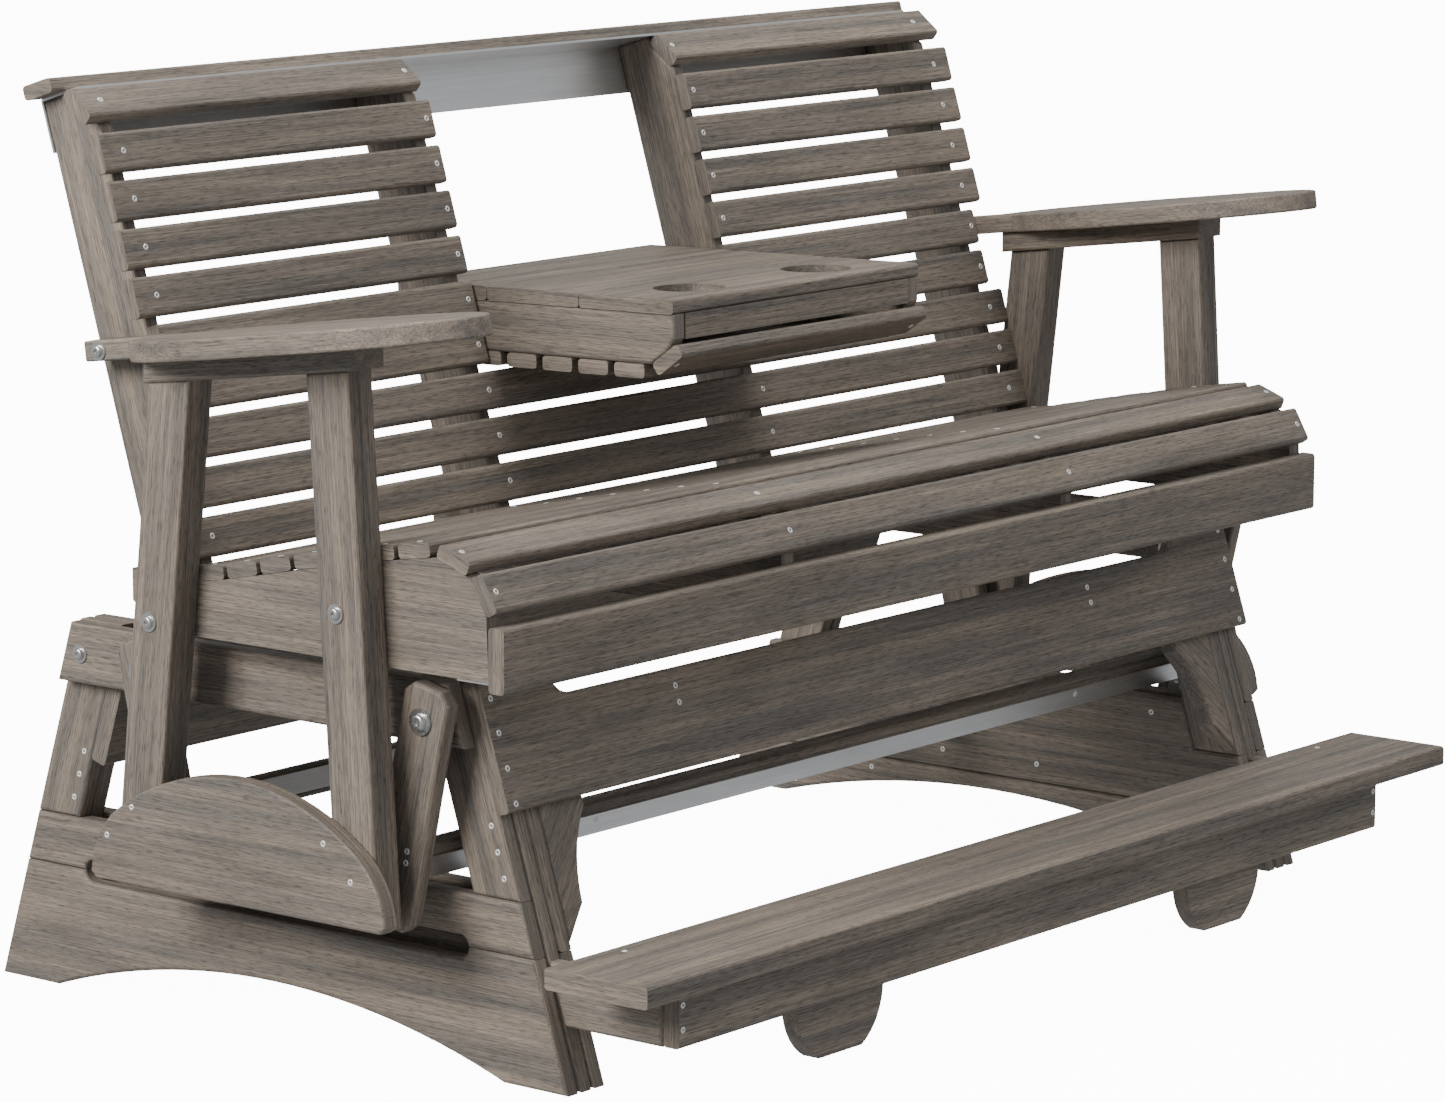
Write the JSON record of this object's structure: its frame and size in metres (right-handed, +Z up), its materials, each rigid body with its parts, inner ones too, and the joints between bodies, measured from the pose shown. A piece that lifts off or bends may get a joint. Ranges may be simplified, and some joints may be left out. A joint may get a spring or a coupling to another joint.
{
  "type": "glider bench",
  "caption": "Outdoor glider bench of poly lumber: slatted seat and back hung on swinging arms in a base with a footrest, with a fold-down console that has cup holes",
  "frame": {"origin": "on the floor under the middle of the whole object", "axes": "+Z up, +X along the bench to the right of a viewer in front, the sitter faces -Y"},
  "size_m": [1.9208, 1.117, 1.1377],
  "materials": {
    "boards": "weathered grey-brown poly lumber with fine streaky grain along each board",
    "slats": "weathered grey-brown poly lumber slats with fine streaky grain",
    "aluminium": "bright mill-finish aluminium",
    "bolts": "stainless steel with a satin polish",
    "bushes": "dark nylon"
  },
  "bodies": {
    "base": {"base_arch_board_left": "boards", "base_arch_board_right": "boards", "base_front_board": "boards", "base_front_corner_legs": "boards", "base_front_inner_legs": "boards", "base_front_outer_legs": "boards", "base_gussets": "boards", "base_inner_arch_boards": "boards", "base_inner_side_boards": "boards", "base_rear_board": "boards", "base_rear_inner_legs": "boards", "base_rear_outer_legs": "boards", "base_side_board_left": "boards", "base_side_board_right": "boards", "base_top_rail_left": "boards", "base_top_rail_right": "boards", "footrest_apron": "boards", "footrest_arms": "boards", "footrest_feet": "boards", "footrest_plank": "boards", "rail_bolts": "bolts", "upper_pivot_bolts": "bolts", "upper_pivot_spacers": "bushes"},
    "front_swing": {"front_arm_bushes": "bushes", "front_stretcher": "boards", "front_stretcher_strip": "aluminium", "front_swing_arm_left": "boards", "front_swing_arm_right": "boards"},
    "rear_swing": {"rear_arm_bushes": "bushes", "rear_stretcher": "boards", "rear_stretcher_strip": "aluminium", "rear_swing_arm_left": "boards", "rear_swing_arm_right": "boards"},
    "seat": {"arm_posts": "boards", "armrest_left": "boards", "armrest_right": "boards", "armrest_supports": "boards", "back_angle": "aluminium", "back_cap": "boards", "back_end_uprights": "boards", "back_mid_uprights": "boards", "back_slats_left": "slats", "back_slats_lower": "slats", "back_slats_right": "slats", "bench_bolts": "bolts", "console_hinge_pins": "bolts", "lower_pivot_bolts": "bolts", "lower_pivot_spacers": "bushes", "post_panels": "boards", "seat_apron": "boards", "seat_end_rails": "boards", "seat_front_slat": "slats", "seat_front_strip": "aluminium", "seat_mid_rails": "boards", "seat_nose_slat": "slats", "seat_slats": "slats"},
    "console": {"console_front": "boards", "console_sides": "boards", "console_slats": "slats", "console_top": "boards"}
  },
  "joints": [
    {"name": "front_swing", "type": "hinge", "parent": "base", "child": "front_swing", "pos_m": [0, -0.2035, 0.428], "axis": [1, 0, 0], "range_deg": [-7, 7]},
    {"name": "rear_swing", "type": "hinge", "parent": "base", "child": "rear_swing", "pos_m": [0, 0.2505, 0.428], "axis": [1, 0, 0], "range_deg": [-7.1, 7.1]},
    {"name": "seat_hinge", "type": "hinge", "parent": "front_swing", "child": "seat", "pos_m": [0, -0.1545, 0.212], "axis": [1, 0, 0], "range_deg": [-9, 9]},
    {"name": "console_fold", "type": "hinge", "parent": "seat", "child": "console", "pos_m": [0, 0.2337, 0.7818], "axis": [-1, 0, 0], "range_deg": [0, 105.8]}
  ],
  "couplings": [
    {"joint": "rear_swing", "follows": "front_swing", "ratio": 1},
    {"joint": "seat_hinge", "follows": "front_swing", "ratio": -1.2753}
  ]
}
